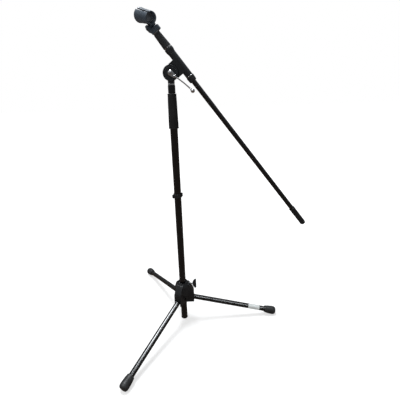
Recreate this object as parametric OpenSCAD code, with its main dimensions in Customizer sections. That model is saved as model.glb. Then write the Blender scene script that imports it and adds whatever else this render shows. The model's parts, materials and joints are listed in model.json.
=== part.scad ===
// Boom microphone stand: folding tripod base, telescopic pole, tilting boom and
// microphone clip. Millimetres, +Z up. The origin is on the floor, at the centre
// of the pole's end cap. The right leg and the boom's long end point along +X.

/* [Tripod base] */
// Height of the leg pivots above the floor
leg_pivot_height = 105.3; // [95:0.1:115]
// Distance of a leg pivot from the pole's axis
leg_pivot_radius = 29; // [28:0.5:32]
// Slope of a spread leg below the horizontal, in degrees
leg_slope = 14.76; // [12:0.01:18]
// Outer radius of a leg tube
leg_radius = 9.7; // [8:0.1:10]
// Wall of a leg tube
leg_wall = 1.2; // [0.8:0.1:2]
// Distance from the pivot to the inner end of a leg tube
leg_tube_start = 12; // [11:0.5:16]
// Distance from the pivot to the outer end of a leg tube
leg_tube_end = 354; // [340:1:354]
// Distance from the pivot to the end of the rubber foot
foot_end = 361; // [358:1:365]
// Length of the rubber foot along the leg
foot_length = 45; // [40:1:55]
// Largest radius of the rubber foot
foot_radius = 16.3; // [15.9:0.1:16.3]
// Radius of a leg's pivot pin
pin_radius = 3; // [2.5:0.5:3.5]
// Length of a leg's pivot pin
pin_length = 30; // [28:1:30]

/* [Hub] */
// Height of the lower edge of the hub's ears
hub_bottom = 87; // [82:1:90]
// Height of the hub's upper rim
hub_top = 178; // [176:1:182]
// Distance from the pole's axis to the outer face of an ear
hub_radius = 43.7; // [42:0.1:46]
// Radius of the hub's bell
bell_radius = 30.2; // [29:0.1:32]
// Width of a leg slot in the hub
slot_width = 20.4; // [20:0.1:21]
// Outer radius of the bush in the hub
liner_radius = 14.2; // [13.8:0.1:15]

/* [Locking screw] */
// Height of the locking screw
wing_height = 165; // [160:1:168]
// Radius of the locking screw's shank
wing_shank_radius = 3; // [2.5:0.5:4]
// Distance from the pole's axis to the tip of the shank
wing_tip = 13; // [13:0.5:15]
// Distance from the pole's axis to the outer face of the wing
wing_outer = 54; // [52:1:60]
// Half the span of the wing
wing_span = 20; // [15:0.5:22]

/* [Pole] */
// Outer radius of the lower tube
pole_radius = 12.5; // [12:0.5:14]
// Inner radius of the lower tube
pole_bore = 11.3; // [10.5:0.1:11.3]
// Height of the top of the lower tube
pole_top = 872; // [800:1:900]
// Height of the end cap's flange
cap_height = 4; // [3:0.5:6]
// Radius of the end cap's flange
cap_radius = 13.2; // [12.5:0.1:13.3]
// Height of the cable clip's lower edge
cable_clip_height = 536; // [400:1:700]

/* [Pole clutch] */
// Height of the clutch's lower edge
clutch_bottom = 776.5; // [760:0.5:790]
// Height of the clutch's upper edge
clutch_top = 883.5; // [878:0.5:890]
// Radius of the clutch grip near its lower edge
clutch_low_radius = 15.9; // [15:0.1:17]
// Radius of the clutch grip at its upper edge
clutch_top_radius = 13.9; // [13.5:0.1:15]

/* [Riser and swivel] */
// Outer radius of the inner tube
riser_radius = 9.5; // [9:0.5:10]
// Inner radius of the inner tube
riser_bore = 8.3; // [8:0.1:8.5]
// Height of the inner tube's lower end
riser_bottom = 95; // [90:1:200]
// Height of the boom's tilt axis
pivot_height = 944; // [930:1:960]
// Radius of the swivel's disc
disc_radius = 24; // [20:0.5:26]
// Radius of the swivel's neck
neck_radius = 10.7; // [10:0.1:11.5]
// Radius of the clamping bolt
bolt_radius = 4; // [3:0.5:5]

/* [Clamping lever] */
// Slope of the lever below the horizontal, in degrees
lever_slope = 38.6; // [0:0.1:90]
// Distance from the tilt axis to the middle of the lever's ball
lever_length = 84.4; // [60:0.1:100]
// Radius of the lever's ball
ball_radius = 6.5; // [5:0.5:8]
// Radius of the lever's rod
rod_radius = 2; // [1.5:0.1:3]

/* [Boom] */
// Slope of the boom below the horizontal, in degrees
boom_tilt = 52.1; // [0:0.1:85]
// Distance from the tilt axis to the boom's axis
boom_offset = 39.5; // [38:0.5:42]
// Outer radius of the boom tube
boom_radius = 8; // [7.5:0.5:8.5]
// Inner radius of the boom tube
boom_bore = 6.9; // [6.5:0.1:7]
// Distance from the tilt axis to the boom's lower end
boom_end = 701; // [600:1:800]
// Length of the grip on the boom's lower end
end_grip_length = 80; // [60:1:120]
// Radius of the clamp's sleeve around the boom
sleeve_radius = 11.5; // [11:0.1:12.5]
// Outer radius of the extension tube inside the boom
extension_radius = 5.6; // [5:0.1:6]

/* [Microphone clip] */
// Distance from the tilt axis to the seat of the clip on the boom
clip_seat = 110.6; // [110.6:0.1:120]
// Turn of the clip about the boom's axis, in degrees
clip_turn = -71.3; // [-180:0.1:180]
// Tilt of the clip's barrel, in degrees
clip_tilt = 32; // [-50:0.1:60]
// Height of the clip's hexagonal base
hex_height = 13.5; // [13:0.5:14]
// Corner radius of the clip's hexagonal base
hex_radius = 16.6; // [16.4:0.1:18]
// Height of the clip's tilt axis above its seat
clip_pivot = 21.8; // [21.5:0.1:24]
// Distance from the clip's tilt axis to the middle of the barrel
clip_reach = 28.4; // [28:0.1:32]
// Length of the clip's barrel
barrel_length = 72; // [60:1:76]
// Bore radius of the clip's barrel
barrel_bore = 12.8; // [12:0.1:13.5]
// Outer radius of the barrel at its front end
barrel_front_radius = 20.5; // [18:0.1:21]
// Outer radius of the barrel at its rear end
barrel_rear_radius = 16.8; // [16:0.1:18]

/* [Hidden] */

// Round surfaces are drawn with this many sides
$fn = 96;
// Radial clearance of every running fit
run = 0.05;
// Extra length of a cutter past the face it opens
eps = 1;

// Colours by material
black_plastic = [0.09, 0.09, 0.1];
black_rubber = [0.05, 0.05, 0.055];
black_paint = [0.06, 0.06, 0.065];
steel = [0.62, 0.63, 0.65];
chrome = [0.8, 0.81, 0.83];
brass = [0.72, 0.58, 0.3];
paper = [0.9, 0.91, 0.9];
nylon = [0.3, 0.3, 0.31];

// Leg plug, slot and foot
plug_radius = 9.3;
plug_width = 18.8;
plug_insert = 22;
slot_clear = 0.6;
slot_reach = 60;
foot_start = foot_end - foot_length;
foot_neck_radius = 12.4;
leg_angles = [0, 120, 240];
label_start = 244;
label_length = 48;
label_thick = 0.25;
label_arc = 230;

// Hub
ear_half = 15;
ear_start = 15;
hub_neck_bottom = 108;
hub_neck_radius = 18.6;
bell_bottom = 127;
recess_radius = 17.6;
recess_floor = 170;
hub_boss_radius = 7;
hub_boss_end = 30;

// Locking screw
insert_start = 18.5;
insert_length = 9;
insert_radius = 5;
wing_thick = 7;
wing_hub_radius = 6.5;
wing_hub_start = 39;

// Pole and clutch
plug_depth = 20;
collet_length = 26;
collet_flange = 3;
collet_flange_radius = 12.4;
core_radius = 13.2;
ring_height = 3;
clutch_lip = 2.5;
clip_ring_height = 13;
clip_ring_radius = 15.2;
clip_gap = 70;
clip_lobe_radius = 3.6;

// Riser, head sleeve and nut
guide_length = 28;
sleeve_bottom = clutch_top + 1;
sleeve_top = 909.3;
socket_top = 893;
head_sleeve_radius = 11.5;
spigot_radius = 7.9;
spigot_bottom = 880;
nut_top = 914;
nut_radius = 11.8;
neck_bottom = nut_top + 0.3;
neck_back_top = 917.2;

// Swivel disc and clamp: Y positions, the viewer's side is -Y
disc_front = -15;
disc_back = -1;
ear_front = 0.6;
ear_back = 12;
ear_radius = 22.5;
bevel = 1.5;
block_left = -23;
block_right = 25;
block_low = 9;
block_front = -11;
disc_clear = 0.7;
sweep_radius = 26.8;
washer_radius = 19;

// Clamping lever
boss_radius = 8;
boss_tip = 14;
boss_tip_radius = 5.4;
boss_back = -15.3;
boss_front = -27;
tip_back = -19;
rod_start = 15;
rod_seat = 2;
rod_bend = 320;
rod_plane = -24;
cap_nut_radius = 4.6;
cap_nut_depth = 2.5;
bolt_head_depth = 5.5;
bolt_head_radius = 7.5;

// Clamp sleeve, its ring, washer and nut, measured along the boom
sleeve_from = -38;
sleeve_to = 43;
tee_liner_radius = 9.5;
tee_liner_to = 58;
ring_from = -57;
washer_to = 44.6;
nut_from = 44.7;
nut_to = 63;

// Boom clutch and tubes, measured along the boom
tube_from = -103;
bcollet_to = -80;
bcollet_flange = 1;
bclutch_from = -108;
bclutch_to = -60;
bclutch_lip = 3.7;
bcore_radius = 9.6;
bgrip_front_radius = 10.6;
bgrip_back_radius = 12.8;
bwasher_to = -58.5;
boom_tube_to = 690;
extension_from = -108.6;
extension_to = 400;
extension_bore = 4.6;
stud_flange = 1.6;
stud_flange_radius = 9;
stud_plug = 20;
stud_length = 10.5;

// Microphone clip
clip_insert_radius = 9.2;
hex_shift = 4;
fork_left = 15;
fork_right = 11;
fork_gap = 4.7;
fork_round = 7.4;
cheek_round = 9.2;
cheek_from = 9.5;
tongue_half = 4.5;
tongue_round = 7.2;
screw_radius = 2.5;
slot_open = 4;
barrel_shift = -2;
bore_straight = 30;
rib_front = -12;
rib_rear = 9;
rib_low = 5.5;

// ---- helpers ----

module ring(outer, inner, height) {
    difference() {
        cylinder(r = outer, h = height);
        translate([0, 0, -eps]) cylinder(r = inner, h = height + 2 * eps);
    }
}

// Hexagonal nut body with its corners turned off at both ends
module hex_body(corner, height, turned) {
    intersection() {
        cylinder(r = corner, h = height, $fn = 6);
        rotate_extrude() polygon([
            [0, 0], [corner - turned, 0], [corner + eps, turned],
            [corner + eps, height - turned], [corner - turned, height], [0, height]]);
    }
}

// Frame of a leg: +X runs out along the leg from its pivot
module leg_frame(angle) {
    rotate([0, 0, angle]) translate([leg_pivot_radius, 0, leg_pivot_height])
        rotate([0, leg_slope, 0]) children();
}

// Frame of the boom at its tilt axis: +X runs down along the boom
module boom_frame() {
    translate([0, 0, pivot_height]) rotate([0, boom_tilt, 0]) children();
}

// Frame on the boom's axis: +Z runs down along the boom
module boom_axis(from) {
    boom_frame() translate([from, 0, boom_offset]) rotate([0, 90, 0]) children();
}

// Frame of the clip's base: +Z runs out of the boom's upper end
module clip_frame() {
    boom_frame() translate([-clip_seat, 0, boom_offset]) rotate([0, -90, 0])
        rotate([0, 0, clip_turn]) children();
}

// Frame of the clip's barrel at its tilt axis: +X runs towards its rear end
module barrel_frame() {
    clip_frame() translate([0, 0, clip_pivot]) rotate([0, clip_tilt, 0]) children();
}

// ---- tripod base ----

module leg_slot(angle) {
    room = leg_radius / cos(leg_slope) + slot_clear;
    drop = slot_reach * tan(leg_slope);
    wall = leg_radius + 0.3;
    rotate([0, 0, angle]) translate([leg_pivot_radius, slot_width / 2, leg_pivot_height])
        rotate([90, 0, 0]) linear_extrude(slot_width) polygon([
            [-wall, hub_bottom - leg_pivot_height - eps], [-wall, 4], [-4.5, room], [0, room],
            [slot_reach, room - drop], [slot_reach, hub_bottom - leg_pivot_height - eps]]);
}

// Flat-sided ear that carries one leg's pivot pin
module hub_ear(angle) {
    rotate([0, 0, angle]) translate([0, ear_half, 0]) rotate([90, 0, 0]) linear_extrude(2 * ear_half) polygon([
        [ear_start, hub_bottom], [hub_radius, hub_bottom], [hub_radius, 130],
        [hub_radius - 1.7, 137], [hub_radius - 5.7, 146], [hub_radius - 12.7, 159],
        [hub_radius - 19.7, recess_floor], [ear_start, recess_floor]]);
}

module hub_housing() {
    bore = liner_radius + run;
    color(black_plastic) difference() {
        union() {
            rotate([0, 0, 30]) rotate_extrude() polygon([
                [bore, hub_neck_bottom], [hub_neck_radius - 0.8, hub_neck_bottom], [hub_neck_radius, hub_neck_bottom + 0.8],
                [hub_neck_radius, bell_bottom], [bell_radius - 1, bell_bottom], [bell_radius, bell_bottom + 1],
                [bell_radius, 138], [bell_radius - 0.9, 150], [bell_radius - 3.2, 161.6],
                [bell_radius - 7.7, 171], [bell_radius - 9.7, 174.5], [recess_radius + 1.2, hub_top],
                [recess_radius, hub_top - 0.8], [recess_radius, recess_floor], [bore, recess_floor]]);
            for (angle = leg_angles) hub_ear(angle);
            translate([ear_start + 3, 0, wing_height]) rotate([0, 90, 0])
                cylinder(r = hub_boss_radius, h = hub_boss_end - ear_start - 3);
        }
        for (angle = leg_angles) leg_slot(angle);
        for (angle = leg_angles) rotate([0, 0, angle])
            translate([leg_pivot_radius, 0, leg_pivot_height])
            rotate([90, 0, 0]) cylinder(r = pin_radius, h = 2 * ear_half + 2 * eps, center = true);
        translate([0, 0, wing_height]) rotate([0, 90, 0])
            cylinder(r = wing_shank_radius + 0.4, h = hub_radius);
        translate([insert_start, 0, wing_height]) rotate([0, 90, 0])
            cylinder(r = insert_radius, h = insert_length);
    }
}

module hub_liner() {
    color(nylon) difference() {
        translate([0, 0, hub_neck_bottom + 2])
            ring(liner_radius, pole_radius + run, recess_floor - hub_neck_bottom - 2);
        translate([0, 0, wing_height]) rotate([0, 90, 0])
            cylinder(r = wing_shank_radius + 0.4, h = hub_radius);
    }
}

module lock_insert() {
    color(brass) translate([insert_start, 0, wing_height]) rotate([0, 90, 0])
        ring(insert_radius, wing_shank_radius + run, insert_length);
}

module leg_pins() {
    color(steel) for (angle = leg_angles) rotate([0, 0, angle])
        translate([leg_pivot_radius, 0, leg_pivot_height])
        rotate([90, 0, 0]) cylinder(r = pin_radius, h = pin_length, center = true);
}

module leg_tube(angle) {
    color(black_paint) leg_frame(angle) translate([leg_tube_start, 0, 0]) rotate([0, 90, 0])
        ring(leg_radius, leg_radius - leg_wall, leg_tube_end - leg_tube_start);
}

// Plug in a leg's inner end, with the eye that turns on the pivot pin
module leg_plug(angle) {
    color(black_plastic) leg_frame(angle) difference() {
        union() {
            rotate([90, 0, 0]) cylinder(r = plug_radius, h = plug_width, center = true);
            intersection() {
                rotate([0, 90, 0]) cylinder(r = leg_radius, h = leg_tube_start);
                translate([0, -plug_width / 2, -plug_radius])
                    cube([leg_tube_start, plug_width, 2 * plug_radius]);
            }
            rotate([0, 90, 0]) cylinder(r = leg_radius - leg_wall, h = leg_tube_start + plug_insert);
        }
        rotate([90, 0, 0]) cylinder(r = pin_radius + run, h = plug_width + 2 * eps, center = true);
    }
}

// Rubber boot on a leg's outer end, flat where it stands on the floor
module foot(angle) {
    color(black_rubber) difference() {
        leg_frame(angle) rotate([0, 90, 0]) rotate_extrude() polygon([
            [0, leg_tube_end], [leg_radius, leg_tube_end], [leg_radius, foot_start],
            [foot_neck_radius - 0.8, foot_start], [foot_neck_radius, foot_start + 1],
            [foot_neck_radius + 0.4, foot_start + 6], [foot_radius - 1.2, foot_start + 11],
            [foot_radius, foot_end - 12], [foot_radius - 0.9, foot_end - 5],
            [foot_radius - 2.8, foot_end - 1.6], [foot_radius - 5.2, foot_end], [0, foot_end]]);
        rotate([0, 0, angle]) translate([leg_pivot_radius + foot_start - foot_length, -foot_length, -foot_length])
            cube([3 * foot_length, 2 * foot_length, foot_length]);
    }
}

module leg_label() {
    color(paper) leg_frame(0) translate([label_start, 0, 0]) rotate([0, 90, 0])
        rotate([0, 0, 165]) rotate_extrude(angle = label_arc)
        translate([leg_radius, 0]) square([label_thick, label_length]);
}

module leg_tube_right() leg_tube(0);
module leg_plug_right() leg_plug(0);
module foot_right() foot(0);
module leg_tube_back() leg_tube(120);
module leg_plug_back() leg_plug(120);
module foot_back() foot(120);
module leg_tube_front() leg_tube(240);
module leg_plug_front() leg_plug(240);
module foot_front() foot(240);

module wing_shank() {
    color(chrome) translate([wing_tip, 0, wing_height]) rotate([0, 90, 0])
        cylinder(r = wing_shank_radius, h = wing_hub_start + 8 - wing_tip);
}

module wing_knob() {
    color(black_plastic) difference() {
        translate([0, wing_thick / 2, wing_height]) rotate([90, 0, 0]) linear_extrude(wing_thick) polygon([
            [wing_hub_start, 5], [wing_hub_start + 2.5, 11], [wing_hub_start + 6, wing_span - 3.5],
            [wing_outer - 5.5, wing_span - 0.4], [wing_outer - 3, wing_span],
            [wing_outer - 0.8, wing_span - 1], [wing_outer, wing_span - 3],
            [wing_outer, 3 - wing_span], [wing_outer - 0.8, 1 - wing_span],
            [wing_outer - 3, -wing_span], [wing_outer - 5.5, 0.4 - wing_span],
            [wing_hub_start + 6, 3.5 - wing_span], [wing_hub_start + 2.5, -11], [wing_hub_start, -5]]);
        translate([wing_hub_start - eps, 0, wing_height]) rotate([0, 90, 0])
            cylinder(r = wing_shank_radius, h = 8 + eps);
    }
    color(black_plastic) translate([wing_hub_start, 0, wing_height]) rotate([0, 90, 0])
        ring(wing_hub_radius, wing_shank_radius, 8);
}

// ---- pole ----

module pole_tube() {
    color(black_paint) translate([0, 0, cap_height]) ring(pole_radius, pole_bore, pole_top - cap_height);
}

module pole_end_cap() {
    color(black_rubber) rotate_extrude() polygon([
        [0, 0], [cap_radius - 1.2, 0], [cap_radius, 1.2], [cap_radius, cap_height],
        [pole_bore, cap_height], [pole_bore, cap_height + plug_depth], [0, cap_height + plug_depth]]);
}

module pole_collet() {
    color(nylon) rotate_extrude() polygon([
        [riser_radius + run, pole_top - collet_length], [pole_bore, pole_top - collet_length],
        [pole_bore, pole_top], [collet_flange_radius, pole_top],
        [collet_flange_radius, pole_top + collet_flange], [riser_radius + run, pole_top + collet_flange]]);
}

// Snap-on cable clip, open at the back
module cable_clip() {
    color(black_plastic) translate([0, 0, cable_clip_height]) {
        difference() {
            union() {
                cylinder(r = clip_ring_radius, h = clip_ring_height);
                translate([-clip_ring_radius - 0.6, -4, -3]) cylinder(r = clip_lobe_radius, h = clip_ring_height);
                translate([clip_ring_radius - 0.4, -2, 3]) cylinder(r = clip_lobe_radius, h = clip_ring_height);
            }
            translate([0, 0, -4]) cylinder(r = pole_radius + run, h = clip_ring_height + 10);
            translate([0, 0, -4]) rotate([0, 0, 90 - clip_gap / 2]) rotate_extrude(angle = clip_gap)
                square([2 * clip_ring_radius, clip_ring_height + 10]);
        }
    }
}

// ---- pole clutch ----

module clutch_core() {
    color(nylon) rotate_extrude() polygon([
        [pole_radius + run, clutch_bottom], [core_radius, clutch_bottom],
        [core_radius, clutch_top - clutch_lip], [riser_radius + run, clutch_top - clutch_lip],
        [riser_radius + run, pole_top + collet_flange + 1], [pole_radius + run, pole_top + collet_flange + 1]]);
}

module clutch_grip() {
    low = clutch_bottom + ring_height;
    color(black_rubber) rotate_extrude() polygon([
        [core_radius, low], [clutch_low_radius - 0.4, low], [clutch_low_radius, low + 2],
        [clutch_low_radius + 0.1, low + 12], [clutch_top_radius + 0.9, low + 55],
        [clutch_top_radius, clutch_top - clutch_lip - 2], [clutch_top_radius - 0.4, clutch_top - clutch_lip],
        [core_radius, clutch_top - clutch_lip]]);
}

module clutch_ring_low() {
    color(black_plastic) translate([0, 0, clutch_bottom])
        ring(clutch_low_radius + 0.7, core_radius, ring_height);
}

module clutch_ring_top() {
    color(black_plastic) translate([0, 0, clutch_top - clutch_lip])
        ring(clutch_top_radius + 0.6, riser_radius + run, clutch_lip);
}

// ---- riser and swivel ----

module riser_tube() {
    color(steel) translate([0, 0, riser_bottom]) ring(riser_radius, riser_bore, socket_top - riser_bottom);
}

module riser_guide() {
    color(nylon) translate([0, 0, riser_bottom]) ring(pole_bore - run, riser_radius, guide_length);
}

module head_sleeve() {
    color(black_paint) rotate_extrude() polygon([
        [riser_radius, sleeve_bottom], [head_sleeve_radius - 0.5, sleeve_bottom],
        [head_sleeve_radius, sleeve_bottom + 0.5], [head_sleeve_radius, sleeve_top - 1],
        [head_sleeve_radius - 1, sleeve_top], [spigot_radius + run, sleeve_top],
        [spigot_radius + run, socket_top], [riser_radius, socket_top]]);
}

module jam_nut() {
    color(chrome) translate([0, 0, sleeve_top]) difference() {
        hex_body(nut_radius, nut_top - sleeve_top, 0.9);
        translate([0, 0, -eps]) cylinder(r = spigot_radius + run, h = nut_top - sleeve_top + 2 * eps);
    }
}

module swivel_knuckle() {
    color(black_paint) difference() {
        union() {
            translate([0, 0, pivot_height]) rotate([-90, 0, 0]) rotate_extrude() polygon([
                [0, disc_front + bevel], [disc_radius - 5 - bevel, disc_front + bevel],
                [disc_radius - 5, disc_front], [disc_radius - bevel, disc_front],
                [disc_radius, disc_front + bevel], [disc_radius, disc_back],
                [0, disc_back]]);
            translate([0, 0, neck_bottom]) cylinder(r = neck_radius, h = pivot_height - neck_bottom);
            translate([0, 0, spigot_bottom]) cylinder(r = spigot_radius, h = neck_bottom - spigot_bottom + eps);
        }
        translate([0, disc_back, pivot_height]) rotate([-90, 0, 0]) cylinder(r = sweep_radius, h = disc_radius);
        translate([0, 0, pivot_height]) rotate([90, 0, 0])
            cylinder(r = bolt_radius + run, h = 2 * disc_radius, center = true);
    }
}

module friction_washer() {
    color(nylon) translate([0, disc_back, pivot_height]) rotate([-90, 0, 0])
        ring(washer_radius, bolt_radius + run, ear_front - disc_back - run);
}

// ---- clamping lever ----

// Frame of the lever: +X runs out along the lever
module lever_frame() {
    translate([0, 0, pivot_height]) rotate([0, lever_slope, 0]) children();
}

// Gently bent rod of the lever, an arc in the lever's own plane
module rod_shape() {
    span = lever_length - ball_radius + rod_seat - rod_start;
    half = asin(span / 2 / rod_bend);
    translate([rod_start + span / 2, rod_plane, -rod_bend * cos(half)])
        rotate([90, 0, 0]) rotate([0, 0, 90 - half]) rotate_extrude(angle = 2 * half)
        translate([rod_bend, 0]) circle(r = rod_radius);
}

module lever_boss() {
    color(chrome) lever_frame() difference() {
        union() {
            translate([0, boss_front, 0]) rotate([-90, 0, 0]) rotate_extrude() polygon([
                [0, 0], [boss_radius - 2, 0], [boss_radius, 2],
                [boss_radius, boss_back - boss_front], [0, boss_back - boss_front]]);
            translate([boss_tip, boss_front + 1, 0]) rotate([-90, 0, 0])
                cylinder(r = boss_tip_radius, h = tip_back - boss_front - 1);
            translate([0, tip_back, 0]) rotate([90, 0, 0]) linear_extrude(tip_back - boss_front - 1)
                polygon([[1.5, boss_radius - 0.2], [boss_tip + 1, boss_tip_radius - 0.1],
                    [boss_tip + 1, 0.1 - boss_tip_radius], [1.5, 0.2 - boss_radius]]);
            translate([boss_tip, rod_plane, 0]) rotate([0, 90, 0])
                cylinder(r1 = 3.8, r2 = 2.8, h = boss_tip_radius + 3);
        }
        translate([0, boss_back + eps, 0]) rotate([90, 0, 0])
            cylinder(r = bolt_radius + run, h = boss_back - boss_front + 2 * eps);
        rod_shape();
    }
}

module lever_rod() {
    color(chrome) lever_frame() rod_shape();
}

module lever_ball() {
    color(chrome) lever_frame() difference() {
        translate([lever_length, rod_plane, 0]) sphere(r = ball_radius);
        rod_shape();
    }
}

module lever_cap() {
    color(steel) translate([0, boss_front, pivot_height]) rotate([90, 0, 0])
        hex_body(cap_nut_radius, cap_nut_depth, 0.5);
}

// ---- boom clamp ----

module tee_housing() {
    color(black_plastic) boom_frame() difference() {
        union() {
            translate([sleeve_from, 0, boom_offset]) rotate([0, 90, 0])
                cylinder(r = sleeve_radius, h = sleeve_to - sleeve_from);
            difference() {
                translate([block_left, block_front, block_low])
                    cube([block_right - block_left, ear_back - block_front, boom_offset - block_low]);
                translate([0, ear_front, 0]) rotate([90, 0, 0])
                    cylinder(r = disc_radius + disc_clear, h = 2 * disc_radius);
            }
            translate([0, ear_front, 0]) rotate([-90, 0, 0]) cylinder(r = ear_radius, h = ear_back - ear_front);
        }
        rotate([90, 0, 0]) cylinder(r = bolt_radius, h = 2 * disc_radius, center = true);
        translate([sleeve_from - eps, 0, boom_offset]) rotate([0, 90, 0])
            cylinder(r = tee_liner_radius, h = sleeve_to - sleeve_from + 2 * eps);
    }
}

module tee_liner() {
    color(nylon) boom_axis(sleeve_from) ring(tee_liner_radius, boom_radius + run, tee_liner_to - sleeve_from);
}

module tee_ring() {
    length = sleeve_from - ring_from;
    color(black_plastic) boom_axis(ring_from) rotate_extrude() polygon([
        [boom_radius + run, 0], [sleeve_radius + 0.8, 0], [sleeve_radius + 1.8, 1.2],
        [sleeve_radius + 2, 6], [sleeve_radius + 1.6, 10], [sleeve_radius + 0.5, 15],
        [sleeve_radius + 0.1, length], [boom_radius + run, length]]);
}

module tee_washer() {
    color(chrome) boom_axis(sleeve_to) ring(sleeve_radius + 0.3, tee_liner_radius, washer_to - sleeve_to);
}

module pivot_bolt() {
    color(steel) translate([0, 0, pivot_height]) rotate([90, 0, 0]) {
        translate([0, 0, -ear_back]) cylinder(r = bolt_radius, h = ear_back - boss_front);
        translate([0, 0, -ear_back - bolt_head_depth]) hex_body(bolt_head_radius, bolt_head_depth, 0.7);
    }
}

module collar_nut() {
    length = nut_to - nut_from;
    seat = tee_liner_to - nut_from + 0.5;
    color(black_plastic) boom_axis(nut_from) rotate_extrude() polygon([
        [tee_liner_radius + run, 0], [sleeve_radius + 0.9, 0], [sleeve_radius + 1.3, 1],
        [sleeve_radius + 1.1, 12], [sleeve_radius + 0.2, length - 2], [sleeve_radius - 1.6, length],
        [boom_radius + run, length], [boom_radius + run, seat], [tee_liner_radius + run, seat]]);
}

// ---- boom ----

module boom_tube() {
    color(black_paint) boom_axis(tube_from) ring(boom_radius, boom_bore, boom_tube_to - tube_from);
}

module boom_end_grip() {
    length = end_grip_length;
    seat = boom_tube_to - boom_end + length;
    color(black_rubber) boom_axis(boom_end - length) rotate_extrude() polygon([
        [boom_radius, 0], [boom_radius + 2, 0], [boom_radius + 2.5, 0.6], [boom_radius + 2.5, 2.6],
        [boom_radius + 2, 3.4], [boom_radius + 1.6, length - 7], [boom_radius + 0.7, length - 2.5],
        [boom_radius - 1.4, length - 0.4], [boom_radius - 3, length], [0, length], [0, seat], [boom_radius, seat]]);
}

module boom_collet() {
    length = bcollet_to - tube_from;
    color(nylon) boom_axis(tube_from - bcollet_flange) rotate_extrude() polygon([
        [extension_radius + run, 0], [boom_radius - 0.1, 0], [boom_radius - 0.1, bcollet_flange],
        [boom_bore, bcollet_flange], [boom_bore, length], [extension_radius + run, length]]);
}

module boom_clutch_core() {
    length = bclutch_to - bclutch_from;
    color(nylon) boom_axis(bclutch_from) rotate_extrude() polygon([
        [extension_radius + run, 0], [bcore_radius, 0], [bcore_radius, length],
        [boom_radius + run, length], [boom_radius + run, bclutch_lip], [extension_radius + run, bclutch_lip]]);
}

module boom_clutch_grip() {
    length = bclutch_to - bclutch_from;
    color(black_rubber) boom_axis(bclutch_from) rotate_extrude() polygon([
        [bcore_radius, 0], [bgrip_front_radius - 0.4, 0], [bgrip_front_radius, 0.6],
        [bgrip_back_radius, length - 4], [bgrip_back_radius, length - 0.8],
        [bgrip_back_radius - 0.8, length], [bcore_radius, length]]);
}

module boom_clutch_washer() {
    color(chrome) boom_axis(bclutch_to) ring(bgrip_back_radius - 0.6, boom_radius + run, bwasher_to - bclutch_to);
}

module extension_tube() {
    color(steel) boom_axis(extension_from) ring(extension_radius, extension_bore, extension_to - extension_from);
}

module extension_guide() {
    color(nylon) boom_axis(extension_to - guide_length) ring(boom_bore - run, extension_radius, guide_length);
}

module extension_stud() {
    color(steel) boom_axis(extension_from) {
        cylinder(r = extension_bore, h = stud_plug);
        translate([0, 0, -stud_flange]) cylinder(r = stud_flange_radius, h = stud_flange);
        translate([0, 0, -stud_flange - stud_length]) cylinder(r = spigot_radius, h = stud_length);
    }
}

// ---- microphone clip ----

// Hexagonal base set off to one side, with the fork of the tilt joint on top
module clip_base() {
    color(black_plastic) clip_frame() difference() {
        union() {
            translate([0, hex_shift, 0]) rotate([0, 0, 90]) hex_body(hex_radius, hex_height, 1.2);
            difference() {
                union() {
                    translate([0, fork_right, clip_pivot]) rotate([90, 0, 0])
                        cylinder(r = fork_round, h = fork_left + fork_right);
                    translate([-fork_round, -fork_left, 0]) rotate([90, 0, 90])
                        linear_extrude(2 * fork_round) polygon([
                            [0, clip_pivot], [0, clip_pivot - cheek_round + 0.4],
                            [fork_left / 2, 1.5], [fork_left, 1.5],
                            [fork_left, hex_height - 1], [fork_left + fork_right, hex_height - 1],
                            [fork_left + fork_right, clip_pivot]]);
                    translate([0, -cheek_from, clip_pivot]) rotate([90, 0, 0])
                        cylinder(r = cheek_round, h = fork_left - cheek_from);
                }
                translate([-2 * cheek_round, -fork_gap, hex_height])
                    cube([4 * cheek_round, 2 * fork_gap, 2 * clip_pivot]);
            }
        }
        translate([0, 0, -eps]) cylinder(r = clip_insert_radius, h = stud_length + 1 + eps);
        translate([0, 2 * fork_left, clip_pivot]) rotate([90, 0, 0])
            cylinder(r = screw_radius, h = 4 * fork_left);
    }
}

module clip_insert() {
    color(brass) clip_frame() ring(clip_insert_radius, spigot_radius + run, stud_length + 1);
}

module clip_screw() {
    color(steel) clip_frame() translate([0, fork_right + 4, clip_pivot]) rotate([90, 0, 0]) {
        cylinder(r = screw_radius, h = fork_left + fork_right + 4);
        translate([0, 0, fork_left + fork_right + 4]) cylinder(r1 = 4.8, r2 = 3.6, h = 2.4);
    }
}

module clip_nut() {
    color(steel) clip_frame() translate([0, fork_right + 3.6, clip_pivot]) rotate([90, 0, 0])
        difference() {
            hex_body(4.8, 3.6, 0.5);
            translate([0, 0, -eps]) cylinder(r = screw_radius, h = 4 + 2 * eps);
        }
}

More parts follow.
